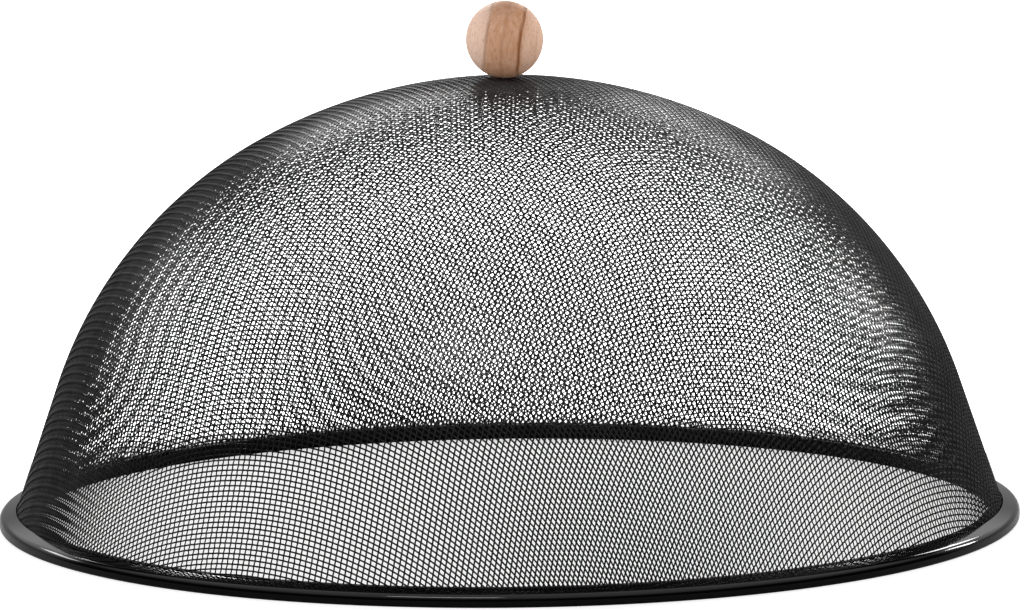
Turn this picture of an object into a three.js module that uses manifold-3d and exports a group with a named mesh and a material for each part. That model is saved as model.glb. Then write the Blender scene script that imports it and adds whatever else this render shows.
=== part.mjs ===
// A domed food cover: black steel wire cloth pressed into a dome, its edge held in a rolled
// steel rim, and a turned beech ball on top, held by one wood screw and a dished washer from
// inside. Lengths are in millimetres. The origin is on the table under the middle of the
// dome, +Z points up and -Y is the front.

import * as THREE from "three";
import { mergeVertices } from "three/addons/utils/BufferGeometryUtils.js";
import Module from "manifold-3d";

const wasm = await Module();
wasm.setup();

// Fit
const SEAT_GAP = 0.3;

// Rim: one strip of sheet steel rolled into a channel that is open at the top. Its flange falls
// away outwards from the slot where the cloth stands.
const RIM_OUTER_RADIUS = 165;
const RIM_WIDTH = 9.8;
const RIM_HEIGHT = 5;
const RIM_SHEET = 0.7;
const RIM_SHOULDER_RADIUS = 2.2;
const RIM_CORNER_RADIUS = 0.9;
const RIM_FLANGE = 6.5;
const RIM_FLANGE_FALL = THREE.MathUtils.degToRad(13);
const RIM_FACETS = 72;

// Dome: a crown, a tighter shoulder and a wall that still leans in where it meets the rim. The
// crown is a little flatter and the wall leans more than on a plain ball's cap between the same
// top and rim, and the shoulder's radius is a few centimetres smaller than the crown's.
const DOME_HEIGHT = 143;
const SHOULDER_TIGHTENING = 26.7;
const CROWN_SHARE = 1.039;
const EXTRA_LEAN = THREE.MathUtils.degToRad(10.6);

// Wire cloth, with one thick wire for about nine fine ones and so about the same weight. The
// spacing of the wires is a share of the rim's radius.
const ACROSS_SHARE = 1 / 11;
const ALONG_SHARE = 6 / 55;
const WIRE_WIDTH = 1.6;
const WIRE_DEPTH = 1.6;
const CLOTH_SLOT_CLEARANCE = 0.45;
const WARP_AZIMUTH = THREE.MathUtils.degToRad(59);

// Ball, screw and washer
const BALL_RADIUS = 12.5;
const BALL_FLAT_RADIUS = 4.4;
const BALL_FACETS = 30;
const SCREW_RADIUS = 1.75;
const SCREW_LENGTH = 16;
const SCREW_TIP = 3;
const SCREW_HEAD_RADIUS = 3.6;
const SCREW_HEAD_HEIGHT = 2.3;
const SCREW_FACETS = 20;
const DRIVE_SLOT_LENGTH = 3.6;
const DRIVE_SLOT_WIDTH = 0.8;
const DRIVE_DEPTH = 1.2;
const PILOT_SPARE_DEPTH = 1;
const WASHER_RADIUS = 9;
const WASHER_SHEET = 1;
const WASHER_FACETS = 40;

// Shares and counts
const CORNER_STEPS = 1;
const SHOULDER_STEPS = 3;
const BALL_STEPS = 13;
const HEAD_STEPS = 4;
const WASHER_STEPS = 2;
const NEWTON_ROUNDS = 8;
const HALF = 0.5;
const QUARTER_TURN = Math.PI / 2;

// Places that follow from the sizes above
const CLOTH_TOP = DOME_HEIGHT;
const CLOTH_MIDDLE_TOP = CLOTH_TOP - WIRE_DEPTH * HALF;
const CLOTH_FOOT_RADIUS = RIM_OUTER_RADIUS - RIM_FLANGE;
const ACROSS_PITCH = RIM_OUTER_RADIUS * ACROSS_SHARE;
const ALONG_PITCH = RIM_OUTER_RADIUS * ALONG_SHARE;
const LOWEST_CROSSING = -Math.max(ACROSS_PITCH, ALONG_PITCH);
const CAP_HEIGHT = CLOTH_MIDDLE_TOP - RIM_HEIGHT;
const CAP_RADIUS = (CLOTH_FOOT_RADIUS ** 2 + CAP_HEIGHT ** 2) / (2 * CAP_HEIGHT);
const CROWN_RADIUS = CAP_RADIUS * CROWN_SHARE;
const SHOULDER_RADIUS = CROWN_RADIUS - SHOULDER_TIGHTENING;
const WALL_LEAN = Math.asin((CAP_RADIUS - CAP_HEIGHT) / CAP_RADIUS) + EXTRA_LEAN;
const WIRE_REACH = (WIRE_DEPTH * HALF) / Math.cos(WALL_LEAN);
const SLOT_HALF_WIDTH = WIRE_REACH + CLOTH_SLOT_CLEARANCE;
const SCREW_HOLE_RADIUS = SCREW_RADIUS + SEAT_GAP;

const blackSteel = new THREE.MeshStandardMaterial({ color: 0x151516, roughness: 0.4, metalness: 0.6 });
const blackCloth = new THREE.MeshStandardMaterial({ color: 0x1b1b1c, roughness: 0.5, metalness: 0.6 });
const beech = new THREE.MeshStandardMaterial({ color: 0xd9a987, roughness: 0.55, metalness: 0 });
const zincSteel = new THREE.MeshStandardMaterial({ color: 0xb9bcc0, roughness: 0.35, metalness: 0.9 });

function point(radius, height) {
  return new THREE.Vector2(radius, height);
}

// An arc in the plane of radius and height, with both of its ends.
function arc(centreRadius, centreHeight, radius, fromAngle, toAngle, steps) {
  const points = [];
  for (let step = 0; step <= steps; step += 1) {
    const angle = fromAngle + ((toAngle - fromAngle) * step) / steps;
    points.push(point(centreRadius + radius * Math.cos(angle), centreHeight + radius * Math.sin(angle)));
  }
  return points;
}

// A solid of revolution about +Z. Outer sides run upwards in the outline.
function turned(outline, facets) {
  return new THREE.LatheGeometry(outline, facets).rotateX(QUARTER_TURN);
}

function closed(outline) {
  return [...outline, outline[0].clone()];
}

function solidFrom(geometry) {
  const bare = geometry.clone();
  bare.deleteAttribute("normal");
  bare.deleteAttribute("uv");
  const merged = mergeVertices(bare);
  return new wasm.Manifold(new wasm.Mesh({
    numProp: 3,
    vertProperties: new Float32Array(merged.attributes.position.array),
    triVerts: new Uint32Array(merged.index.array),
  }));
}

function geometryFrom(solid) {
  const mesh = solid.getMesh();
  const geometry = new THREE.BufferGeometry();
  geometry.setAttribute("position", new THREE.BufferAttribute(mesh.vertProperties, mesh.numProp));
  geometry.setIndex(new THREE.BufferAttribute(mesh.triVerts, 1));
  return geometry;
}

function named(name, geometry, material) {
  const mesh = new THREE.Mesh(geometry, material);
  mesh.name = name;
  return mesh;
}

// The dome's middle surface: two arcs and a straight wall, each tangent to the next. The wall
// passes the rim's slot, so the shoulder's centre lies one shoulder radius inside the wall, and
// at the place along it where the shoulder also touches the crown from inside.
function domeProfile() {
  const crownCentre = CLOTH_MIDDLE_TOP - CROWN_RADIUS;
  const start = point(
    CLOTH_FOOT_RADIUS - SHOULDER_RADIUS * Math.cos(WALL_LEAN),
    RIM_HEIGHT - SHOULDER_RADIUS * Math.sin(WALL_LEAN),
  );
  const up = point(-Math.sin(WALL_LEAN), Math.cos(WALL_LEAN));
  const fromCrown = start.clone().sub(point(0, crownCentre));
  const along = fromCrown.dot(up);
  const slide = -along + Math.sqrt(along * along - fromCrown.lengthSq() + SHOULDER_TIGHTENING ** 2);
  const shoulder = start.addScaledVector(up, slide);
  const shoulderEnd = Math.atan2(shoulder.y - crownCentre, shoulder.x);
  return { crownCentre, shoulder, shoulderEnd };
}

const dome = domeProfile();

// How far a place stands outside the middle surface, and the surface's outward normal there.
function domeOffset(place) {
  const radius = Math.hypot(place.x, place.y);
  const crownAngle = Math.atan2(place.z - dome.crownCentre, radius);
  const shoulderAngle = Math.atan2(place.z - dome.shoulder.y, radius - dome.shoulder.x);
  let angle = shoulderAngle;
  let distance = Math.hypot(radius - dome.shoulder.x, place.z - dome.shoulder.y) - SHOULDER_RADIUS;
  if (crownAngle >= dome.shoulderEnd) {
    angle = crownAngle;
    distance = Math.hypot(radius, place.z - dome.crownCentre) - CROWN_RADIUS;
  } else if (shoulderAngle <= WALL_LEAN) {
    angle = WALL_LEAN;
    distance = (radius - dome.shoulder.x) * Math.cos(angle)
      + (place.z - dome.shoulder.y) * Math.sin(angle) - SHOULDER_RADIUS;
  }
  const outward = radius > 0 ? 1 / radius : 0;
  const normal = new THREE.Vector3(
    Math.cos(angle) * place.x * outward,
    Math.cos(angle) * place.y * outward,
    Math.sin(angle),
  );
  return { distance, normal };
}

// A demand that Newton's method meets: how far a place misses it, and the way that the miss grows.
function onDome(place) {
  const { distance, normal } = domeOffset(place);
  return { miss: distance, grows: normal };
}

function atPitchFrom(place, neighbour, pitch) {
  const grows = place.clone().sub(neighbour);
  const miss = grows.length() - pitch;
  return { miss, grows: grows.normalize() };
}

function settled(start, demands) {
  const place = start.clone();
  for (let round = 0; round < NEWTON_ROUNDS; round += 1) {
    const rows = demands(place);
    const inverse = new THREE.Matrix3().set(...rows.flatMap((row) => row.grows.toArray())).invert();
    place.sub(new THREE.Vector3(...rows.map((row) => row.miss)).applyMatrix3(inverse));
  }
  return place;
}

// A wire that runs straight down the dome from its top, by its crossings.
function topWire(pitch) {
  const wire = [new THREE.Vector3(0, 0, CLOTH_MIDDLE_TOP)];
  const yAxis = new THREE.Vector3(0, 1, 0);
  while (wire.at(-1).z > LOWEST_CROSSING) {
    const last = wire.at(-1);
    const before = wire.at(-2) ?? last.clone().sub(new THREE.Vector3(pitch, 0, 0));
    const ahead = last.clone().multiplyScalar(2).sub(before);
    wire.push(settled(ahead, (place) => [
      onDome(place),
      atPitchFrom(place, last, pitch),
      { miss: place.y, grows: yAxis },
    ]));
  }
  return wire;
}

// One quarter of the pressed cloth. Woven wires keep their spacing and only shear, so the two
// wires through the top run straight down the dome, and every other crossing lies one pitch
// from the crossing before it on each of its two wires.
function clothQuarter() {
  const acrossWire = topWire(ACROSS_PITCH);
  const crossings = [acrossWire];
  for (const start of topWire(ALONG_PITCH).slice(1)) {
    const below = crossings.at(-1);
    const current = [new THREE.Vector3(0, start.x, start.z)];
    crossings.push(current);
    for (let step = 1; step < acrossWire.length; step += 1) {
      const side = current[step - 1];
      const under = below[step];
      if (!side || !under || Math.min(side.z, under.z) < LOWEST_CROSSING) {
        break;
      }
      const ahead = side.clone().add(under).sub(below[step - 1]);
      current.push(settled(ahead, (place) => [
        onDome(place),
        atPitchFrom(place, side, ACROSS_PITCH),
        atPitchFrom(place, under, ALONG_PITCH),
      ]));
    }
  }
  return crossings;
}

// The whole cloth: crossings by their count along the two wires, with the neighbour that each
// wire reaches in its four directions.
function clothCrossings() {
  const quarter = clothQuarter();
  const crossings = new Map();
  const key = (across, along) => `${across} ${along}`;
  const lastAlong = quarter.length - 1;
  const lastAcross = quarter[0].length - 1;
  for (let along = -lastAlong; along <= lastAlong; along += 1) {
    for (let across = -lastAcross; across <= lastAcross; across += 1) {
      const source = quarter[Math.abs(along)]?.[Math.abs(across)];
      if (source) {
        const place = new THREE.Vector3(Math.sign(across) * source.x, Math.sign(along) * source.y, source.z);
        crossings.set(key(across, along), { across, along, place });
      }
    }
  }
  const shows = (crossing) => crossing.place.z > RIM_HEIGHT;
  const directions = [[1, 0], [0, 1], [-1, 0], [0, -1]];
  for (const crossing of crossings.values()) {
    crossing.arms = directions.map(([across, along]) => {
      const neighbour = crossings.get(key(crossing.across + across, crossing.along + along));
      return neighbour && (shows(crossing) || shows(neighbour)) ? neighbour : null;
    });
  }
  return [...crossings.values()].filter((crossing) => crossing.arms.some((arm) => arm));
}

// The way one wire runs through a crossing, taken between its neighbours.
function wireRun(crossing, ahead, behind) {
  const from = crossing.arms[behind]?.place ?? crossing.place;
  const to = crossing.arms[ahead]?.place ?? crossing.place;
  const normal = domeOffset(crossing.place).normal;
  return to.clone().sub(from).projectOnPlane(normal).normalize();
}

// Each wire is a four-sided rod with ridges outside and inside. A crossing has six corners: one
// on each ridge, and four where the sides of the two wires meet.
function clothLattice(crossings) {
  const corners = [];
  const faces = [];
  for (const crossing of crossings) {
    const normal = domeOffset(crossing.place).normal;
    let warp = wireRun(crossing, 0, 2);
    let weft = wireRun(crossing, 1, 3);
    if (warp.lengthSq() === 0) {
      warp = weft.clone().cross(normal);
    }
    if (weft.lengthSq() === 0) {
      weft = normal.clone().cross(warp);
    }
    const side = (WIRE_WIDTH * HALF) / warp.clone().cross(weft).length();
    crossing.first = corners.length;
    corners.push(crossing.place.clone().addScaledVector(normal, WIRE_DEPTH * HALF));
    corners.push(crossing.place.clone().addScaledVector(normal, -WIRE_DEPTH * HALF));
    for (const [alongWarp, alongWeft] of [[1, 1], [-1, 1], [-1, -1], [1, -1]]) {
      const corner = crossing.place.clone();
      corner.addScaledVector(warp, alongWarp * side).addScaledVector(weft, alongWeft * side);
      corners.push(corner);
    }
  }
  const outer = (crossing) => crossing.first;
  const inner = (crossing) => crossing.first + 1;
  const sideCorner = (crossing, turn) => crossing.first + 2 + (turn % 4);
  const quad = (a, b, c, d) => faces.push(a, b, c, a, c, d);
  for (const here of crossings) {
    here.arms.forEach((there, turn) => {
      const left = sideCorner(here, turn);
      const right = sideCorner(here, turn + 3);
      if (!there) {
        quad(inner(here), left, outer(here), right);
      } else if (turn < 2) {
        const farLeft = sideCorner(there, turn + 1);
        const farRight = sideCorner(there, turn + 2);
        quad(outer(here), outer(there), farLeft, left);
        quad(outer(here), right, farRight, outer(there));
        quad(inner(here), left, farLeft, inner(there));
        quad(inner(here), inner(there), farRight, right);
      }
    });
  }
  const geometry = new THREE.BufferGeometry();
  geometry.setAttribute("position", new THREE.Float32BufferAttribute(corners.flatMap((c) => c.toArray()), 3));
  geometry.setIndex(faces);
  return geometry;
}

// The cloth ends just above the bottom of the rim's channel, and the screw passes through its
// top crossing.
function meshDome() {
  const lattice = solidFrom(clothLattice(clothCrossings()));
  const foot = RIM_SHEET + SEAT_GAP;
  const roof = CLOTH_TOP + SEAT_GAP;
  const kept = turned(closed([
    point(SCREW_HOLE_RADIUS, foot),
    point(RIM_OUTER_RADIUS, foot),
    point(RIM_OUTER_RADIUS, roof),
    point(SCREW_HOLE_RADIUS, roof),
  ]), SCREW_FACETS);
  const geometry = geometryFrom(lattice.intersect(solidFrom(kept)));
  return named("mesh_dome", geometry.rotateZ(WARP_AZIMUTH), blackCloth);
}

// The rim's outline: down and round its outer face from the slot's inner lip to the outer one,
// and back along the inside of the sheet. The shoulder touches the falling flange and the wall.
function rimChannel() {
  const wall = RIM_OUTER_RADIUS - RIM_WIDTH;
  const near = wall + RIM_CORNER_RADIUS;
  const far = RIM_OUTER_RADIUS - RIM_CORNER_RADIUS;
  const low = RIM_CORNER_RADIUS;
  const high = RIM_HEIGHT - RIM_CORNER_RADIUS;
  const innerLip = CLOTH_FOOT_RADIUS - SLOT_HALF_WIDTH;
  const outerLip = CLOTH_FOOT_RADIUS + SLOT_HALF_WIDTH;
  const flangeReach = RIM_OUTER_RADIUS - RIM_SHOULDER_RADIUS - outerLip;
  const shoulder = point(
    RIM_OUTER_RADIUS - RIM_SHOULDER_RADIUS,
    RIM_HEIGHT - flangeReach * Math.tan(RIM_FLANGE_FALL) - RIM_SHOULDER_RADIUS / Math.cos(RIM_FLANGE_FALL),
  );
  const flangeAngle = QUARTER_TURN - RIM_FLANGE_FALL;
  const outside = [
    point(innerLip, RIM_HEIGHT),
    ...arc(near, high, RIM_CORNER_RADIUS, QUARTER_TURN, 2 * QUARTER_TURN, CORNER_STEPS),
    ...arc(near, low, RIM_CORNER_RADIUS, 2 * QUARTER_TURN, 3 * QUARTER_TURN, CORNER_STEPS),
    ...arc(far, low, RIM_CORNER_RADIUS, 3 * QUARTER_TURN, 4 * QUARTER_TURN, CORNER_STEPS),
    ...arc(shoulder.x, shoulder.y, RIM_SHOULDER_RADIUS, 0, flangeAngle, SHOULDER_STEPS),
    point(outerLip, RIM_HEIGHT),
  ];
  const inside = [
    point(innerLip, RIM_HEIGHT - RIM_SHEET),
    point(wall + RIM_SHEET, RIM_HEIGHT - RIM_SHEET),
    point(wall + RIM_SHEET, RIM_SHEET),
    point(RIM_OUTER_RADIUS - RIM_SHEET, RIM_SHEET),
    ...arc(shoulder.x, shoulder.y, RIM_SHOULDER_RADIUS - RIM_SHEET, 0, flangeAngle, SHOULDER_STEPS),
    point(outerLip, RIM_HEIGHT - RIM_SHEET / Math.cos(RIM_FLANGE_FALL)),
  ];
  return named("rim_channel", turned(closed([...outside, ...inside.reverse()]), RIM_FACETS), blackSteel);
}

// The ball stands on a small flat, with a blind hole for the screw.
const BALL_FOOT = CLOTH_TOP + SEAT_GAP;
const BALL_CENTRE = BALL_FOOT + Math.sqrt(BALL_RADIUS ** 2 - BALL_FLAT_RADIUS ** 2);
const WASHER_TOP_RADIUS = CROWN_RADIUS - WIRE_DEPTH * HALF - SEAT_GAP;
const WASHER_BOTTOM = dome.crownCentre + WASHER_TOP_RADIUS - WASHER_SHEET;
const SCREW_SEAT = WASHER_BOTTOM - SEAT_GAP;
const SCREW_END = SCREW_SEAT + SCREW_LENGTH;

function ballKnob() {
  const pilotEnd = SCREW_END + PILOT_SPARE_DEPTH;
  const startAngle = -Math.acos(BALL_FLAT_RADIUS / BALL_RADIUS);
  const outline = [
    point(0, pilotEnd),
    point(SCREW_HOLE_RADIUS, pilotEnd),
    point(SCREW_HOLE_RADIUS, BALL_FOOT),
    ...arc(0, BALL_CENTRE, BALL_RADIUS, startAngle, QUARTER_TURN, BALL_STEPS),
  ];
  outline.at(-1).x = 0;
  return named("ball_knob", turned(outline, BALL_FACETS), beech);
}

// The washer is dished to lie along the cloth.
function innerWasher() {
  const holeAngle = Math.acos(SCREW_HOLE_RADIUS / WASHER_TOP_RADIUS);
  const edgeAngle = Math.acos(WASHER_RADIUS / WASHER_TOP_RADIUS);
  const top = arc(0, dome.crownCentre, WASHER_TOP_RADIUS, edgeAngle, holeAngle, WASHER_STEPS);
  const bottom = top.map((place) => point(place.x, place.y - WASHER_SHEET)).reverse();
  return named("inner_washer", turned(closed([...bottom, ...top]), WASHER_FACETS), zincSteel);
}

// A pan-head wood screw, driven upwards, with a crossed recess in its head.
function knobScrew() {
  const headBottom = SCREW_SEAT - SCREW_HEAD_HEIGHT;
  const roundRadius = SCREW_HEAD_HEIGHT;
  const outline = [
    point(0, headBottom),
    ...arc(
      SCREW_HEAD_RADIUS - roundRadius,
      SCREW_SEAT,
      roundRadius,
      -QUARTER_TURN,
      0,
      HEAD_STEPS,
    ),
    point(SCREW_RADIUS, SCREW_SEAT),
    point(SCREW_RADIUS, SCREW_END - SCREW_TIP),
    point(0, SCREW_END),
  ];
  let screw = solidFrom(turned(outline, SCREW_FACETS));
  for (const angle of [0, QUARTER_TURN]) {
    const slot = new THREE.BoxGeometry(DRIVE_SLOT_LENGTH, DRIVE_SLOT_WIDTH, 2 * DRIVE_DEPTH);
    slot.rotateZ(angle).translate(0, 0, headBottom);
    screw = screw.subtract(solidFrom(slot));
  }
  return named("knob_screw", geometryFrom(screw), zincSteel);
}

const foodCover = new THREE.Group();
foodCover.add(meshDome(), rimChannel(), ballKnob(), innerWasher(), knobScrew());

export default foodCover;
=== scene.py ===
# A domed food cover of black woven wire cloth, with a rolled steel rim and a beech ball knob.
# Lengths are in metres. The frame has +Z up, -Y towards the viewer and the table at z = 0.
# Colours are linear red, green and blue, and opacity.

import math

import bmesh
import bpy
import numpy as np
from mathutils import Matrix, Vector


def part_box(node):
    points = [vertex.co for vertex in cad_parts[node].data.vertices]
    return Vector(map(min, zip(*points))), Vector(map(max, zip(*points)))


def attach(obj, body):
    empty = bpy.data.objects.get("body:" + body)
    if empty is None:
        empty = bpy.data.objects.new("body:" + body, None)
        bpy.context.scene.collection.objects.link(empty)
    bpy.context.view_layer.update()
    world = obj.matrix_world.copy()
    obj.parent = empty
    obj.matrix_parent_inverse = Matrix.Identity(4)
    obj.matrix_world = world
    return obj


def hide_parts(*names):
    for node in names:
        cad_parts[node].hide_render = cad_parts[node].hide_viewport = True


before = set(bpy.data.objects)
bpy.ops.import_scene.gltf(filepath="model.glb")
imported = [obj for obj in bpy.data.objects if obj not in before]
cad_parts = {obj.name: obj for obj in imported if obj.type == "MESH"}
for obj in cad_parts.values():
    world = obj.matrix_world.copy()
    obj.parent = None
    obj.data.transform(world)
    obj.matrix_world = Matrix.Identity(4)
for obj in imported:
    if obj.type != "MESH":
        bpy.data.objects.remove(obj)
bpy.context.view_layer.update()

MM = 0.001
HALF = 0.5
TURN = 2 * math.pi
QUARTER = TURN / 4
NONE_TO_FULL = (0.0, 1.0)
NONE_TO_HALF = (0.0, HALF)
FULL_TO_NONE = (1.0, 0.0)
BODY = "root"
SHARP_EDGE = math.radians(40)
SAME_PLACE = 0.001 * MM

# Dome: a crown, a shoulder and a leaning wall, each tangent to the next. The fine cloth lies
# just inside the outer face of the solid cloth that it stands for.
SHOULDER_TIGHTENING = 26.7 * MM
CROWN_SHARE = 1.039
EXTRA_LEAN = math.radians(10.6)
SOLID_WIRE = 1.6 * MM
RIM_FLANGE = 6.5 * MM

# Wire cloth, whose round wires were rolled a little flat. The corners of a wire's section lie on
# an oval with these half sizes. Its middle rises and falls by the weave's rise as it passes over
# and under the others, and it ends inside the rim, at the cloth's end.
ACROSS_PITCH = 1.62 * MM
ALONG_PITCH = 1.95 * MM
WIRE_HALF_WIDTH = 0.265 * MM
WIRE_HALF_DEPTH = 0.175 * MM
WEAVE_RISE = 0.15 * MM
CLOTH_HALF_DEPTH = WEAVE_RISE + WIRE_HALF_DEPTH
WIRE_SIDES = 6
WARP_AZIMUTH = math.radians(59)
WIRES_IN_A_PIECE = 30
CLOTH_END = 1.0 * MM
SCREW_HOLE_RADIUS = 2.05 * MM
FEWEST_CROSSINGS = 3
NEWTON_ROUNDS = 7
FAR_BELOW = -1.0

# Rim
RIM_SHEET = 0.7 * MM
RIM_WIDTH = 9.8 * MM
RIM_SHOULDER = 2.2 * MM
RIM_CORNER = 0.9 * MM
RIM_FLANGE_FALL = math.radians(13)
RIM_SLOT_CLEARANCE = 0.3 * MM
RIM_FACETS = 360
ARC_STEPS = 8

# Ball
BALL_RADIUS = 12.5 * MM
FOOT_LIFT = 0.03 * MM
PILOT_RADIUS = 2.05 * MM
BALL_STEPS = 48
SMALL_FACETS = 96

# Washer and screw
WASHER_RADIUS = 9 * MM
WASHER_SHEET = 1 * MM
WASHER_ROUND = 0.3 * MM
WASHER_ROUND_STEPS = 3
SCREW_RADIUS = 1.75 * MM
SCREW_TIP = 3 * MM
SCREW_HEAD_RADIUS = 3.6 * MM
SCREW_HEAD_HEIGHT = 2.3 * MM
DRIVE_SLOT_LENGTH = 3.6 * MM
DRIVE_SLOT_WIDTH = 0.8 * MM
DRIVE_DEPTH = 1.2 * MM

# Camera, fitted to the photograph
PHOTO_WIDTH_PX = 1024
FOCAL_PX = 6880
SENSOR_MM = 36
CAMERA_PLACE = (1.5 * MM, -2200 * MM, 378.8 * MM)
CAMERA_LOOKS_DOWN = math.radians(8.02)
CAMERA_ROLL = math.radians(-0.6)
CAMERA_NEAR = 10 * MM
CAMERA_FAR = 50

# Places that come from the frame
_, RIM_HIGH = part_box("rim_channel")
_, CLOTH_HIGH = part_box("mesh_dome")
BALL_LOW, BALL_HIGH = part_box("ball_knob")
RIM_RADIUS = RIM_HIGH.y
RIM_HEIGHT = RIM_HIGH.z
CLOTH_TOP = CLOTH_HIGH.z


# Geometry helpers

def mesh_piece(name, points, quads, material, replaced):
    """A piece of the object, made of quads, which stands for a CAD node."""
    mesh = bpy.data.meshes.new(name)
    points = np.asarray(points, dtype=np.float32)
    quads = np.asarray(quads, dtype=np.int32)
    starts = np.arange(len(quads), dtype=np.int32) * quads.shape[1]
    mesh.vertices.add(len(points))
    mesh.vertices.foreach_set("co", points.ravel())
    mesh.loops.add(quads.size)
    mesh.loops.foreach_set("vertex_index", quads.ravel())
    mesh.polygons.add(len(quads))
    mesh.polygons.foreach_set("loop_start", starts)
    mesh.update(calc_edges=True)
    mesh.polygons.foreach_set("use_smooth", np.full(len(quads), True))
    mesh.set_sharp_from_angle(angle=SHARP_EDGE)
    mesh.materials.append(material)
    piece = bpy.data.objects.new(name, mesh)
    bpy.context.collection.objects.link(piece)
    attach(piece, BODY)
    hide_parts(replaced)
    return piece


def arc(centre, radius, start, end, steps=ARC_STEPS):
    angles = np.linspace(start, end, steps + 1)
    return np.stack([
        centre[0] + radius * np.cos(angles),
        centre[1] + radius * np.sin(angles),
    ], axis=1)


def turned_faces(outline, facets):
    """A closed outline of radius and height, turned about the Z axis."""
    outline = np.asarray(outline)
    angles = np.arange(facets) * TURN / facets
    radius = outline[None, :, 0]
    points = np.stack([
        radius * np.cos(angles)[:, None],
        radius * np.sin(angles)[:, None],
        np.broadcast_to(outline[None, :, 1], (facets, len(outline))),
    ], axis=2).reshape(-1, 3)
    count = len(outline)
    here = np.arange(facets)[:, None] * count
    there = (np.arange(1, facets + 1) % facets)[:, None] * count
    this = np.arange(count)[None, :]
    after = (this + 1) % count
    corners = [here + this, there + this, there + after, here + after]
    return points, np.stack(corners, axis=2).reshape(-1, 4)


def join_points_on_axis(piece):
    """Makes one point of those that a turned outline has where it meets the axis."""
    shape = bmesh.new()
    shape.from_mesh(piece.data)
    bmesh.ops.remove_doubles(shape, verts=shape.verts, dist=SAME_PLACE)
    shape.to_mesh(piece.data)
    shape.free()


def apply_modifiers(piece):
    evaluated = piece.evaluated_get(bpy.context.evaluated_depsgraph_get())
    shaped = bpy.data.meshes.new_from_object(evaluated)
    piece.modifiers.clear()
    piece.data = shaped


# Node helpers. The higher a noise's detail is, the more layers of finer noise are added to it.

EVEN = (1, 1, 1)
SMOOTH_DETAIL = 1.0
PLAIN_DETAIL = 2.0
ROUGH_DETAIL = 3.0
FINE_DETAIL = 4.0


class Graph:
    """Adds nodes to one node tree. A value is a plain number or colour, or a node's output."""

    def __init__(self, tree):
        self.nodes = tree.nodes
        self.links = tree.links

    def feed(self, value, socket):
        if isinstance(value, bpy.types.NodeSocket):
            self.links.new(value, socket)
        else:
            socket.default_value = value

    def place(self, scale=EVEN):
        """The place on the object. A scale below 1 draws a pattern out along its axis."""
        place = self.nodes.new("ShaderNodeTexCoord")
        mapping = self.nodes.new("ShaderNodeMapping")
        self.feed(scale, mapping.inputs["Scale"])
        self.feed(place.outputs["Object"], mapping.inputs["Vector"])
        return mapping.outputs["Vector"]

    def axes(self, vector):
        """The X, Y and Z parts of a vector."""
        parts = self.nodes.new("ShaderNodeSeparateXYZ")
        self.feed(vector, parts.inputs["Vector"])
        return parts.outputs

    def compute(self, operation, *values):
        node = self.nodes.new("ShaderNodeMath")
        node.operation = operation
        for socket, value in zip(node.inputs, values):
            self.feed(value, socket)
        return node.outputs["Value"]

    def noise(self, place, size, detail=PLAIN_DETAIL):
        """Noise whose blotches are about one size across."""
        noise = self.nodes.new("ShaderNodeTexNoise")
        self.feed(1 / size, noise.inputs["Scale"])
        self.feed(detail, noise.inputs["Detail"])
        self.feed(place, noise.inputs["Vector"])
        return noise.outputs["Fac"]

    def remap(self, value, taken, given, smooth=False):
        """Turns the taken range of a value into the given range."""
        node = self.nodes.new("ShaderNodeMapRange")
        node.interpolation_type = "SMOOTHSTEP" if smooth else "LINEAR"
        names = ("Value", "From Min", "From Max", "To Min", "To Max")
        for name, number in zip(names, (value, *taken, *given)):
            self.feed(number, node.inputs[name])
        return node.outputs["Result"]

    def mix(self, share, first, second):
        """A mix of two colours."""
        node = self.nodes.new("ShaderNodeMix")
        node.data_type = "RGBA"
        self.feed(share, node.inputs["Factor"])
        for name, colour in (("A", first), ("B", second)):
            socket = next(s for s in node.inputs if s.name == name and s.type == "RGBA")
            self.feed(colour, socket)
        return next(s for s in node.outputs if s.type == "RGBA")

    def bump(self, height, distance, finish):
        bump = self.nodes.new("ShaderNodeBump")
        self.feed(distance, bump.inputs["Distance"])
        self.feed(height, bump.inputs["Height"])
        self.feed(bump.outputs["Normal"], finish["Normal"])

    def background(self, strength):
        shade = self.nodes.new("ShaderNodeBackground")
        self.feed(strength, shade.inputs["Strength"])
        return shade.outputs["Background"]


def new_material(name):
    """A material, its node graph and the sockets of its shader."""
    material = bpy.data.materials.new(name)
    material.use_nodes = True
    tree = material.node_tree
    return material, Graph(tree), tree.nodes["Principled BSDF"].inputs


# Black coats. Most of a noise lies in the common range.

COMMON_NOISE = (0.3, 0.7)
WIRE_BLACK = (0.004, 0.004, 0.0043, 1)
WIRE_ROUGHNESS = 0.3
WIRE_PATCH = 9 * MM
WIRE_SHINE = (0.12, 0.24)
RIM_BLACK = (0.0012, 0.0012, 0.0013, 1)
RIM_SHINE = 0.15
RIM_PATCH = 14 * MM
RIM_ROUGHNESS = (0.05, 0.08)
PEEL_SIZE = 1.1 * MM
PEEL_DEPTH = 0.01 * MM


def wire_coat():
    """Black coat whose shine changes a little from patch to patch."""
    material, graph, finish = new_material("black_wire_coat")
    graph.feed(WIRE_BLACK, finish["Base Color"])
    graph.feed(WIRE_ROUGHNESS, finish["Roughness"])
    patches = graph.noise(graph.place(), WIRE_PATCH)
    graph.feed(graph.remap(patches, COMMON_NOISE, WIRE_SHINE), finish["Specular IOR Level"])
    return material


def rim_coat():
    """Semi-gloss black coat with a faint orange peel."""
    material, graph, finish = new_material("black_rim_coat")
    graph.feed(RIM_BLACK, finish["Base Color"])
    graph.feed(RIM_SHINE, finish["Specular IOR Level"])
    place = graph.place()
    patches = graph.noise(place, RIM_PATCH)
    graph.feed(graph.remap(patches, COMMON_NOISE, RIM_ROUGHNESS), finish["Roughness"])
    graph.bump(graph.noise(place, PEEL_SIZE, SMOOTH_DETAIL), PEEL_DEPTH, finish)
    return material


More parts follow.
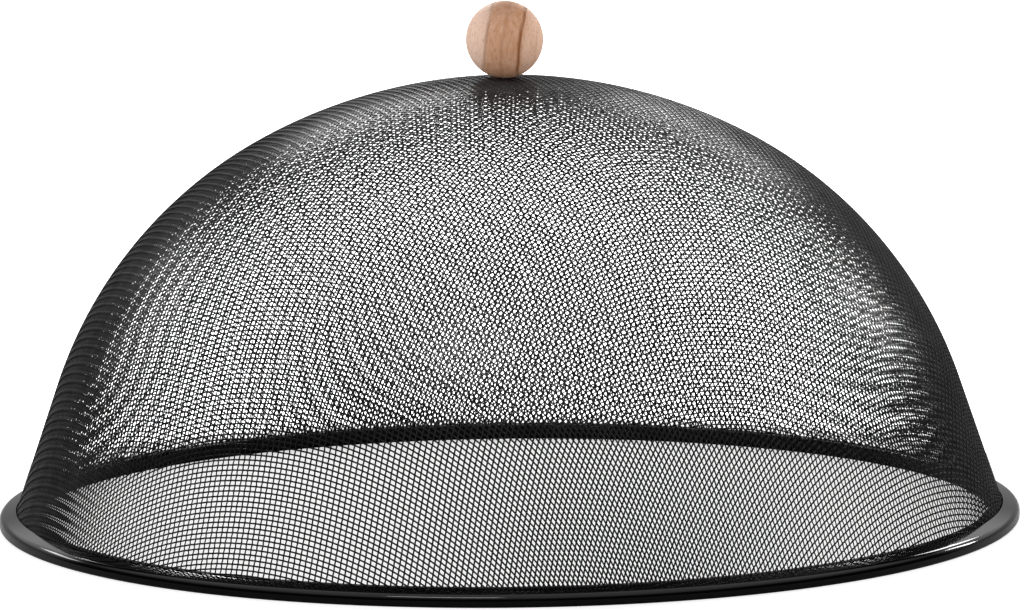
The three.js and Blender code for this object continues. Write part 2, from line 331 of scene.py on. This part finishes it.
# Beech. Its growth rings stand nearly upright and face the viewer edge on. A ring's place is its
# distance to the right of the ball's axis at the bend height, where it stands upright.

PALE_BEECH = (0.78, 0.54, 0.42, 1)
RED_BEECH = (0.56, 0.285, 0.155, 1)
RING_LINE = (0.27, 0.1, 0.035, 1)
FLECK = (0.38, 0.18, 0.09, 1)
BEECH_SHINE = 0.15
BEECH_ROUGHNESS = (0.55, 0.7)

# The rings' bend is in metres per square metre of height, and their bend height is measured
# from the middle of the solid ball. Their waver is drawn out along the grain.
RING_PERIOD = 5.45 * MM
RING_PHASE = 4.4 * MM
RING_BEND = 7.5
RING_BEND_HEIGHT = -9 * MM
RING_GRAIN = (1, 1, 0.4)
WAVER_SIZE = 5 * MM
WAVER_REACH = (-0.8 * MM, 0.8 * MM)
RED_BEGINS = (-7.5 * MM, -5.5 * MM)
RED_WANES = (3.5 * MM, 7 * MM)

# The dark line at a ring's edge begins and ends at these shares of the ring. Lines are numbered
# from the left. One is faint, and those beyond its two neighbours are fainter still. A line
# counts as the faint one, or as one of the three, if its number is off by no more than given.
LINE_BEGIN_SHARES = (0.78, 0.96)
LINE_END_SHARES = (0.0, 0.1)
LINE_PATCH = 4 * MM
LINE_PATCH_NOISE = (0.35, 0.65)
LINE_PATCH_STRENGTHS = (0.55, 1.0)
LINE_LEFT_TO_RIGHT = (-6 * MM, 2 * MM)
LINE_SIDE_STRENGTHS = (0.55, 1.0)
FAINT_LINE = -1.0
ONE_LINE = 0.1
THREE_LINES = 1.1
FAINT_LINE_STRENGTHS = (1.0, 0.3)
FAR_LINE_STRENGTHS = (0.15, 1.0)

# Pale clouds and dark flecks
CLOUD_GRAIN = (1, 1, 0.25)
CLOUD_SIZE = 1.6 * MM
CLOUD_NOISE = (0.35, 0.7)
CLOUD_STRENGTHS = (0.0, 0.4)
FLECK_GRAIN = (1, 1, 0.14)
FLECK_SIZE = 0.4 * MM
FLECK_NOISE = (0.55, 0.68)
FLECK_DEPTH = 0.02 * MM


def ring_place(graph, along_grain):
    """Where a point's growth ring is, without the rings' bend and waver."""
    place = graph.axes(graph.place())
    bend_height = (BALL_LOW.z + BALL_HIGH.z) * HALF + RING_BEND_HEIGHT
    rise = graph.compute("SUBTRACT", place["Z"], bend_height)
    bend = graph.compute("MULTIPLY", graph.compute("MULTIPLY", rise, rise), -RING_BEND)
    waver = graph.noise(along_grain, WAVER_SIZE, ROUGH_DETAIL)
    waver = graph.remap(waver, NONE_TO_FULL, WAVER_REACH)
    return graph.compute("ADD", graph.compute("ADD", place["X"], bend), waver)


def ring_lines(graph, ring, along_grain):
    """How strong the dark lines at the rings' edges are."""
    number = graph.compute("DIVIDE", graph.compute("SUBTRACT", ring, RING_PHASE), RING_PERIOD)
    share = graph.compute("FRACT", number)
    before = graph.remap(share, LINE_BEGIN_SHARES, NONE_TO_FULL, smooth=True)
    after = graph.remap(share, LINE_END_SHARES, FULL_TO_NONE, smooth=True)
    line = graph.compute("MAXIMUM", before, after)
    patches = graph.noise(along_grain, LINE_PATCH)
    nearest = graph.compute("ROUND", number)
    faint = graph.compute("COMPARE", nearest, FAINT_LINE, ONE_LINE)
    near = graph.compute("COMPARE", nearest, FAINT_LINE, THREE_LINES)
    for strength in (
        graph.remap(patches, LINE_PATCH_NOISE, LINE_PATCH_STRENGTHS),
        graph.remap(ring, LINE_LEFT_TO_RIGHT, LINE_SIDE_STRENGTHS),
        graph.remap(faint, NONE_TO_FULL, FAINT_LINE_STRENGTHS),
        graph.remap(near, NONE_TO_FULL, FAR_LINE_STRENGTHS),
    ):
        line = graph.compute("MULTIPLY", line, strength)
    return line


def beech():
    """Pinkish beech: bent upright growth rings that darken to a soft edge, and short flecks along
    the grain. The ring in the middle is redder, and one ring edge is faint."""
    material, graph, finish = new_material("beech")
    graph.feed(BEECH_SHINE, finish["Specular IOR Level"])
    along_grain = graph.place(RING_GRAIN)
    ring = ring_place(graph, along_grain)
    red = graph.remap(ring, RED_BEGINS, NONE_TO_FULL, smooth=True)
    pale_again = graph.remap(ring, RED_WANES, NONE_TO_HALF, smooth=True)
    red = graph.compute("SUBTRACT", red, pale_again)
    colour = graph.mix(red, PALE_BEECH, RED_BEECH)
    clouds = graph.noise(graph.place(CLOUD_GRAIN), CLOUD_SIZE, FINE_DETAIL)
    clouds = graph.remap(clouds, CLOUD_NOISE, CLOUD_STRENGTHS)
    colour = graph.mix(clouds, colour, PALE_BEECH)
    flecks = graph.noise(graph.place(FLECK_GRAIN), FLECK_SIZE, SMOOTH_DETAIL)
    flecks = graph.remap(flecks, FLECK_NOISE, NONE_TO_HALF, smooth=True)
    colour = graph.mix(flecks, colour, FLECK)
    colour = graph.mix(ring_lines(graph, ring, along_grain), colour, RING_LINE)
    graph.feed(colour, finish["Base Color"])
    graph.feed(graph.remap(flecks, NONE_TO_FULL, BEECH_ROUGHNESS), finish["Roughness"])
    graph.bump(flecks, -FLECK_DEPTH, finish)
    return material


# Zinc plate

DARK_ZINC = (0.52, 0.53, 0.54, 1)
PALE_ZINC = (0.72, 0.73, 0.75, 1)
ZINC_METALLIC = 1.0
ZINC_ROUGHNESS = (0.28, 0.42)
ZINC_CLOUD = 3 * MM
ROLLED_GRAIN = (1, 0.05, 1)
ROLLING_MARK = 0.15 * MM
ROLLING_MARK_DEPTH = 0.01 * MM


def zinc_plate():
    """Bright zinc on steel: slightly cloudy, with fine rolling marks."""
    material, graph, finish = new_material("zinc_plate")
    graph.feed(ZINC_METALLIC, finish["Metallic"])
    clouds = graph.noise(graph.place(), ZINC_CLOUD, ROUGH_DETAIL)
    graph.feed(graph.mix(clouds, DARK_ZINC, PALE_ZINC), finish["Base Color"])
    graph.feed(graph.remap(clouds, COMMON_NOISE, ZINC_ROUGHNESS), finish["Roughness"])
    marks = graph.noise(graph.place(ROLLED_GRAIN), ROLLING_MARK)
    graph.bump(marks, ROLLING_MARK_DEPTH, finish)
    return material


# Cloth

def dome_profile():
    """Radii, centres and lean of the fine cloth's middle surface, in the plane of radius and
    height. The solid cloth's middle surface comes first, and the fine one is offset from it."""
    middle_top = CLOTH_TOP - SOLID_WIRE * HALF
    foot = np.array([RIM_RADIUS - RIM_FLANGE, RIM_HEIGHT])
    cap_height = middle_top - RIM_HEIGHT
    cap_radius = (foot[0] ** 2 + cap_height ** 2) / (2 * cap_height)
    crown_radius = cap_radius * CROWN_SHARE
    shoulder_radius = crown_radius - SHOULDER_TIGHTENING
    lean = math.asin((cap_radius - cap_height) / cap_radius) + EXTRA_LEAN
    crown = np.array([0.0, middle_top - crown_radius])
    outward = np.array([math.cos(lean), math.sin(lean)])
    up = np.array([-math.sin(lean), math.cos(lean)])

    # The shoulder's centre slides up beside the wall until it is as far from the crown's centre
    # as their radii differ, so that the two arcs are tangent.
    start = foot - shoulder_radius * outward - crown
    along = start @ up
    slide = -along + math.sqrt(along ** 2 - start @ start + SHOULDER_TIGHTENING ** 2)
    shoulder = start + slide * up
    shoulder_end = math.atan2(shoulder[1], shoulder[0])
    out = SOLID_WIRE * HALF - CLOTH_HALF_DEPTH
    return crown[1], shoulder + crown, shoulder_end, crown_radius + out, shoulder_radius + out, lean


(CROWN_CENTRE, SHOULDER_CENTRE, SHOULDER_END,
 CROWN_RADIUS, SHOULDER_RADIUS, WALL_LEAN) = dome_profile()


def dome_offset(places):
    """How far places stand outside the middle surface, and the outward normals there."""
    radius = np.hypot(places[..., 0], places[..., 1])
    height = places[..., 2]
    crown_angle = np.arctan2(height - CROWN_CENTRE, radius)
    side = radius - SHOULDER_CENTRE[0]
    rise = height - SHOULDER_CENTRE[1]
    shoulder_angle = np.arctan2(rise, side)
    on_crown = crown_angle >= SHOULDER_END
    on_wall = ~on_crown & (shoulder_angle <= WALL_LEAN)
    angle = np.where(on_crown, crown_angle, np.maximum(shoulder_angle, WALL_LEAN))
    from_shoulder = np.hypot(side, rise) - SHOULDER_RADIUS
    from_wall = side * math.cos(WALL_LEAN) + rise * math.sin(WALL_LEAN) - SHOULDER_RADIUS
    from_crown = np.hypot(radius, height - CROWN_CENTRE) - CROWN_RADIUS
    distance = np.where(on_crown, from_crown, np.where(on_wall, from_wall, from_shoulder))
    flat = np.cos(angle) / np.maximum(radius, SAME_PLACE)
    normal = np.stack([flat * places[..., 0], flat * places[..., 1], np.sin(angle)], axis=-1)
    return distance, normal


def settled(places, neighbours):
    """Moves places onto the dome, each at its pitch from both neighbours, by Newton's method. The
    misses say how far each of the three rules is off, and the grows how they change in space."""
    for _ in range(NEWTON_ROUNDS):
        distance, normal = dome_offset(places)
        misses = [distance[..., None]]
        grows = [normal]
        for neighbour, pitch in neighbours:
            span = places - neighbour
            length = np.linalg.norm(span, axis=-1, keepdims=True)
            misses.append(length - pitch)
            grows.append(span / length)
        step = np.linalg.solve(np.stack(grows, axis=-2), np.stack(misses, axis=-2))
        places = places - step[..., 0]
    return places


def top_wire(pitch):
    """The wire through the top, which runs straight down the dome in the plane y = 0."""
    places = [np.array([0.0, 0.0, CROWN_CENTRE + CROWN_RADIUS])]
    step = np.array([pitch, 0.0, 0.0])
    while places[-1][2] > -pitch:
        place = places[-1] + step
        for _ in range(NEWTON_ROUNDS):
            distance, normal = dome_offset(place)
            span = place - places[-1]
            length = np.linalg.norm(span)
            misses = np.array([distance, length - pitch, place[1]])
            grows = np.stack([normal, span / length, [0.0, 1.0, 0.0]])
            place = place - np.linalg.solve(grows, misses)
        step = place - places[-1]
        places.append(place)
    return np.array(places)


def cloth_quarter():
    """Crossings of one quarter of the cloth. Woven wires keep their spacing and only shear, so
    each crossing lies one pitch from the crossing before it on each of its two wires."""
    across_wire = top_wire(ACROSS_PITCH)
    along_wire = top_wire(ALONG_PITCH)
    last_across = len(across_wire) - 1
    last_along = len(along_wire) - 1
    quarter = np.full((last_across + 1, last_along + 1, 3), np.nan)
    quarter[:, 0] = across_wire
    quarter[0, :] = along_wire[:, [1, 0, 2]]
    for diagonal in range(2, last_across + last_along + 1):
        across = np.arange(max(1, diagonal - last_along), min(last_across, diagonal - 1) + 1)
        along = diagonal - across
        before_across = quarter[across - 1, along]
        before_along = quarter[across, along - 1]
        whole = np.isfinite(before_across[:, 2]) & np.isfinite(before_along[:, 2])
        if not whole.any():
            continue
        across, along = across[whole], along[whole]
        before_across, before_along = before_across[whole], before_along[whole]
        ahead = before_across + before_along - quarter[across - 1, along - 1]
        places = settled(ahead, [(before_across, ACROSS_PITCH), (before_along, ALONG_PITCH)])
        places[places[:, 2] < -ALONG_PITCH] = np.nan
        quarter[across, along] = places
    return quarter


def whole_cloth(quarter):
    """The four quarters mirrored into one sheet, turned to the way that the cloth was laid."""
    half = np.concatenate([(quarter * [-1, 1, 1])[:0:-1], quarter])
    sheet = np.concatenate([(half * [1, -1, 1])[:, :0:-1], half], axis=1)
    turn = np.array(Matrix.Rotation(WARP_AZIMUTH, 3, "Z"))
    return sheet @ turn.T


def unbroken_runs(kept):
    """The stretches of a row's places that are kept, without those too short to hold a wire."""
    places = np.flatnonzero(kept)
    runs = np.split(places, np.flatnonzero(np.diff(places) > 1) + 1)
    return [run for run in runs if len(run) >= FEWEST_CROSSINGS]


def woven_wires(sheet, over_first):
    """The wires along the rows of the sheet, over and under those that they cross. Each has its
    centres, the dome's normals there and its sideways directions. It ends inside the rim, and
    is cut where the screw passes."""
    # Crossings that the net lacks are put far below, where no wire is kept.
    filled = np.nan_to_num(sheet, nan=FAR_BELOW)
    _, normals = dome_offset(filled)
    from_axis = np.hypot(filled[..., 0], filled[..., 1])
    kept = (filled[..., 2] > CLOTH_END) & (from_axis > SCREW_HOLE_RADIUS + WIRE_HALF_WIDTH)
    rows, columns = sheet.shape[:2]
    parity = np.add.outer(np.arange(rows), np.arange(columns)) + over_first
    centres = sheet + normals * (np.where(parity % 2, 1.0, -1.0) * WEAVE_RISE)[..., None]
    wires = []
    for row in range(rows):
        for run in unbroken_runs(kept[row]):
            tangent = np.gradient(sheet[row, run], axis=0)
            normal = normals[row, run]
            side = np.cross(normal, tangent)
            side /= np.linalg.norm(side, axis=1, keepdims=True)
            wires.append((centres[row, run], normal, side))
    return wires


def wire_tubes(name, wires, material):
    """Six-sided tubes, with a corner at each side and flats where they cross. Each end is closed
    by two quads."""
    angles = (np.arange(WIRE_SIDES) + HALF) * TURN / WIRE_SIDES
    this = np.arange(WIRE_SIDES)[None, :]
    after = (this + 1) % WIRE_SIDES
    points, quads = [], []
    first = 0
    for centre, normal, side in wires:
        section = WIRE_HALF_DEPTH * np.cos(angles)[None, :, None] * normal[:, None, :]
        section = section + WIRE_HALF_WIDTH * np.sin(angles)[None, :, None] * side[:, None, :]
        points.append((centre[:, None, :] + section).reshape(-1, 3))
        count = len(centre)
        here = first + np.arange(count - 1)[:, None] * WIRE_SIDES
        there = here + WIRE_SIDES
        corners = [there + this, there + after, here + after, here + this]
        quads.append(np.stack(corners, axis=2).reshape(-1, 4))
        last = first + (count - 1) * WIRE_SIDES
        for corner in range(1, WIRE_SIDES - 1, 2):
            quads.append([[first, first + corner, first + corner + 1, first + corner + 2]])
            quads.append([[last, last + corner + 2, last + corner + 1, last + corner]])
        first += count * WIRE_SIDES
    points = np.concatenate(points)
    quads = np.concatenate(quads)
    mesh_piece(name, points, quads, material, "mesh_dome")


def build_cloth():
    sheet = whole_cloth(cloth_quarter())
    material = wire_coat()
    for name, laid, over_first in (("warp", sheet.transpose(1, 0, 2), 0), ("weft", sheet, 1)):
        wires = woven_wires(laid, over_first)
        for number, start in enumerate(range(0, len(wires), WIRES_IN_A_PIECE), 1):
            batch = wires[start:start + WIRES_IN_A_PIECE]
            wire_tubes(f"cloth_{name}_{number}", batch, material)


# Rim

def build_rim():
    """A strip bent to a channel: an inner wall, a base and an outer wall with a round shoulder.
    Its two lips leave a slot for the cloth, and the outer one falls away as a flange."""
    wall = RIM_RADIUS - RIM_WIDTH
    lean_factor = 1 / math.cos(WALL_LEAN)
    slot_shift = (SOLID_WIRE * HALF - CLOTH_HALF_DEPTH) * lean_factor
    slot_middle = RIM_RADIUS - RIM_FLANGE + slot_shift
    slot_half = CLOTH_HALF_DEPTH * lean_factor + RIM_SLOT_CLEARANCE
    outer_lip = slot_middle + slot_half
    fall = (RIM_RADIUS - RIM_SHOULDER - outer_lip) * math.tan(RIM_FLANGE_FALL)
    shoulder_height = RIM_HEIGHT - fall - RIM_SHOULDER / math.cos(RIM_FLANGE_FALL)
    shoulder = (RIM_RADIUS - RIM_SHOULDER, shoulder_height)
    near, far = wall + RIM_CORNER, RIM_RADIUS - RIM_CORNER
    low, high = RIM_CORNER, RIM_HEIGHT - RIM_CORNER
    faces = []
    for sheet in (0, RIM_SHEET):
        corner = RIM_CORNER - sheet
        faces.append(np.concatenate([
            [[slot_middle - slot_half, RIM_HEIGHT - sheet]],
            arc((near, high), corner, QUARTER, 2 * QUARTER),
            arc((near, low), corner, 2 * QUARTER, 3 * QUARTER),
            arc((far, low), corner, 3 * QUARTER, 4 * QUARTER),
            arc(shoulder, RIM_SHOULDER - sheet, 0, QUARTER - RIM_FLANGE_FALL),
            [[outer_lip, RIM_HEIGHT - sheet / math.cos(RIM_FLANGE_FALL)]],
        ]))
    outline = np.concatenate([faces[0], faces[1][::-1]])
    points, quads = turned_faces(outline, RIM_FACETS)
    mesh_piece("rolled_rim", points, quads, rim_coat(), "rim_channel")


# Ball, washer and screw

def build_ball():
    """The ball goes on down to the cloth, which closes the CAD's seat gap."""
    foot = CLOTH_TOP + FOOT_LIFT
    centre = (0, BALL_HIGH.z - BALL_RADIUS)
    _, screw_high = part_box("knob_screw")
    pilot_end = screw_high.z + WASHER_SHEET
    start = math.asin((foot - centre[1]) / BALL_RADIUS)
    outline = np.concatenate([
        [[0, pilot_end], [PILOT_RADIUS, pilot_end], [PILOT_RADIUS, foot]],
        arc(centre, BALL_RADIUS, start, QUARTER, BALL_STEPS),
    ])
    outline[-1, 0] = 0
    points, quads = turned_faces(outline, SMALL_FACETS)
    ball = mesh_piece("turned_ball", points, quads, beech(), "ball_knob")
    join_points_on_axis(ball)


def build_washer(zinc):
    _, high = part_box("inner_washer")
    top_radius = math.hypot(high.z - CROWN_CENTRE, PILOT_RADIUS)
    hole = math.acos(PILOT_RADIUS / top_radius)
    edge = math.acos(WASHER_RADIUS / top_radius)
    top = arc((0, CROWN_CENTRE), top_radius, edge, hole)
    bottom = (top - [0, WASHER_SHEET])[::-1]
    points, quads = turned_faces(np.concatenate([bottom, top]), SMALL_FACETS)
    washer = mesh_piece("dished_washer", points, quads, zinc, "inner_washer")
    bevel = washer.modifiers.new("rounded_edges", "BEVEL")
    bevel.width = WASHER_ROUND
    bevel.segments = WASHER_ROUND_STEPS
    bevel.limit_method = "ANGLE"
    apply_modifiers(washer)


def build_screw(zinc):
    """A pan-head screw with a plain shank, whose head has a cross recess underneath."""
    low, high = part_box("knob_screw")
    seat = low.z + SCREW_HEAD_HEIGHT
    head_edge = (SCREW_HEAD_RADIUS - SCREW_HEAD_HEIGHT, seat)
    outline = np.concatenate([
        arc(head_edge, SCREW_HEAD_HEIGHT, -QUARTER, 0),
        [[SCREW_RADIUS, seat], [SCREW_RADIUS, high.z - SCREW_TIP], [0, high.z], [0, low.z]],
    ])
    points, quads = turned_faces(outline, SMALL_FACETS)
    screw = mesh_piece("pan_head_screw", points, quads, zinc, "knob_screw")
    join_points_on_axis(screw)
    for name, across, along in (
        ("slot_a", DRIVE_SLOT_LENGTH, DRIVE_SLOT_WIDTH),
        ("slot_b", DRIVE_SLOT_WIDTH, DRIVE_SLOT_LENGTH),
    ):
        bpy.ops.mesh.primitive_cube_add(size=1, location=(0, 0, low.z))
        slot = bpy.context.object
        slot.scale = (across, along, 2 * DRIVE_DEPTH)
        cut = screw.modifiers.new(name, "BOOLEAN")
        cut.operation = "DIFFERENCE"
        cut.object = slot
        bpy.context.view_layer.update()
        apply_modifiers(screw)
        bpy.data.objects.remove(slot)


# Camera

def build_camera():
    data = bpy.data.cameras.new("camera")
    data.sensor_width = SENSOR_MM
    data.lens = FOCAL_PX * SENSOR_MM / PHOTO_WIDTH_PX
    data.clip_start = CAMERA_NEAR
    data.clip_end = CAMERA_FAR
    camera = bpy.data.objects.new("camera", data)
    bpy.context.collection.objects.link(camera)
    camera.location = CAMERA_PLACE
    tilt = Matrix.Rotation(QUARTER - CAMERA_LOOKS_DOWN, 4, "X")
    roll = Matrix.Rotation(CAMERA_ROLL, 4, "Z")
    camera.rotation_euler = (tilt @ roll).to_euler()
    bpy.context.scene.camera = camera


# World. The backdrop and the table behind the object are overexposed, as in the photograph, where
# they show white even through two layers of cloth. Glossy rays see them dimmer, with a darker
# band above the table's far edge, and see a dark room at the viewer's side under a lit ceiling.
# Diffuse rays get an even light, which is stronger from below the table's height.

BACKDROP_SEEN = 3.8
TABLE_LIT = 0.5
BACKDROP_LIT = 1.3
TABLE_EDGE_LIT = 0.42
ROOM_DARK = 0.02
CEILING_LIT = 2.5
SOFT_LIGHT = 0.67
TABLE_SOFT_LIGHT = 2.0

# The ranges over which each of these begins, ends or changes. They are shares of a ray's length:
# its rise, and for the back its way to the back.
TABLE_ENDS = (-0.02, 0.06)
BACKDROP_BEGINS = (0.17, 0.33)
BACKDROP_ENDS = (0.5, 0.58)
CEILING_BEGINS = (0.3, 0.85)
SOFT_LIGHT_CHANGES = (-0.1, 0.1)
BACK_BEGINS = (0.35, 0.6)


def room_in_reflections(graph, to_back, rise):
    table = graph.remap(rise, TABLE_ENDS, (TABLE_LIT, 0.0), smooth=True)
    backdrop = graph.remap(rise, BACKDROP_BEGINS, (TABLE_EDGE_LIT, BACKDROP_LIT), smooth=True)
    backdrop_end = graph.remap(rise, BACKDROP_ENDS, FULL_TO_NONE, smooth=True)
    back = graph.compute("MULTIPLY", graph.compute("MAXIMUM", table, backdrop), backdrop_end)
    in_back = graph.remap(to_back, BACK_BEGINS, NONE_TO_FULL, smooth=True)
    in_front = graph.remap(to_back, BACK_BEGINS, FULL_TO_NONE, smooth=True)
    ceiling = graph.remap(rise, CEILING_BEGINS, (ROOM_DARK, CEILING_LIT), smooth=True)
    return graph.compute(
        "MAXIMUM",
        graph.compute("MULTIPLY", back, in_back),
        graph.compute("MULTIPLY", ceiling, in_front),
    )


def build_world():
    world = bpy.data.worlds.new("studio")
    bpy.context.scene.world = world
    world.use_nodes = True
    graph = Graph(world.node_tree)
    graph.nodes.clear()
    ray = graph.nodes.new("ShaderNodeTexCoord")
    direction = graph.axes(ray.outputs["Generated"])
    soft_lights = (TABLE_SOFT_LIGHT, SOFT_LIGHT)
    soft = graph.remap(direction["Z"], SOFT_LIGHT_CHANGES, soft_lights, smooth=True)
    glossy = graph.background(room_in_reflections(graph, direction["Y"], direction["Z"]))
    seen = graph.background(BACKDROP_SEEN)
    light = graph.background(soft)
    path = graph.nodes.new("ShaderNodeLightPath")
    for kind, shade in (
        ("Is Glossy Ray", glossy),
        ("Is Camera Ray", seen),
        ("Is Transmission Ray", seen),
    ):
        mix = graph.nodes.new("ShaderNodeMixShader")
        share, first, second = mix.inputs
        graph.feed(path.outputs[kind], share)
        graph.feed(light, first)
        graph.feed(shade, second)
        light = mix.outputs["Shader"]
    output = graph.nodes.new("ShaderNodeOutputWorld")
    graph.feed(light, output.inputs["Surface"])


# Floor, which glows for camera rays alone

FLOOR_RADIUS = 0.2
FLOOR_FACETS = 128
FLOOR_WHITE = (0.6, 0.6, 0.6, 1)
FLOOR_ROUGHNESS = 0.9
FLOOR_GLOW = 0.68
FLOOR_GLOW_WHITE = (1, 1, 1, 1)


def build_floor():
    bpy.ops.mesh.primitive_circle_add(vertices=FLOOR_FACETS, radius=FLOOR_RADIUS, fill_type="NGON")
    floor = bpy.context.object
    floor.name = "floor"
    material, graph, finish = new_material("floor")
    graph.feed(FLOOR_WHITE, finish["Base Color"])
    graph.feed(FLOOR_ROUGHNESS, finish["Roughness"])
    graph.feed(0, finish["Specular IOR Level"])
    graph.feed(FLOOR_GLOW_WHITE, finish["Emission Color"])
    path = graph.nodes.new("ShaderNodeLightPath")
    glow = graph.compute("MULTIPLY", path.outputs["Is Camera Ray"], FLOOR_GLOW)
    graph.feed(glow, finish["Emission Strength"])
    floor.data.materials.append(material)


# Lights

LIGHTS_AIM = Vector((0, 0, 0.06))
LIGHTS_AWAY = 1.4


def area_light(name, azimuth, elevation, width, height, power, shines=True, lights=True):
    """A soft box that faces the object. Its azimuth is measured from the viewer's side to the
    right, in degrees. A box that doesn't shine lights the object but makes no highlights, and
    one that doesn't light makes highlights alone."""
    data = bpy.data.lights.new(name, "AREA")
    data.shape = "RECTANGLE"
    data.size = width
    data.size_y = height
    data.energy = power
    light = bpy.data.objects.new(name, data)
    bpy.context.collection.objects.link(light)
    around = Matrix.Rotation(math.radians(azimuth), 3, "Z")
    up = Matrix.Rotation(-math.radians(elevation), 3, "X")
    away = around @ up @ Vector((0, -1, 0))
    light.location = LIGHTS_AIM + LIGHTS_AWAY * away
    light.rotation_euler = (-away).to_track_quat("-Z", "Y").to_euler()
    light.visible_glossy = shines
    light.visible_diffuse = lights


def build_lights():
    """Four boxes behind the object, two on each side, give the rim and the cloth's sides their
    streaks. A thin one at the viewer's left gives the rim's front its short one, and two soft
    boxes at the sides light the ball."""
    area_light("left_streak", azimuth=-167, elevation=29, width=0.4, height=0.16, power=5)
    area_light("left_spark", azimuth=-130, elevation=24, width=0.5, height=0.12, power=2)
    area_light("right_streak", azimuth=161, elevation=26, width=0.45, height=0.2, power=4)
    area_light("right_spark", azimuth=125, elevation=20, width=0.12, height=0.3, power=4.5)
    area_light("viewer_streak", azimuth=-18, elevation=50, width=0.5, height=0.05, power=6,
               lights=False)
    area_light("left_box", azimuth=-80, elevation=10, width=0.6, height=0.6, power=4.7,
               shines=False)
    area_light("right_fill", azimuth=60, elevation=2, width=0.6, height=0.6, power=3.2,
               shines=False)


build_camera()
build_world()
build_floor()
build_lights()
build_cloth()
build_rim()
build_ball()
zinc = zinc_plate()
build_washer(zinc)
build_screw(zinc)

bpy.context.scene.view_settings.view_transform = "Standard"
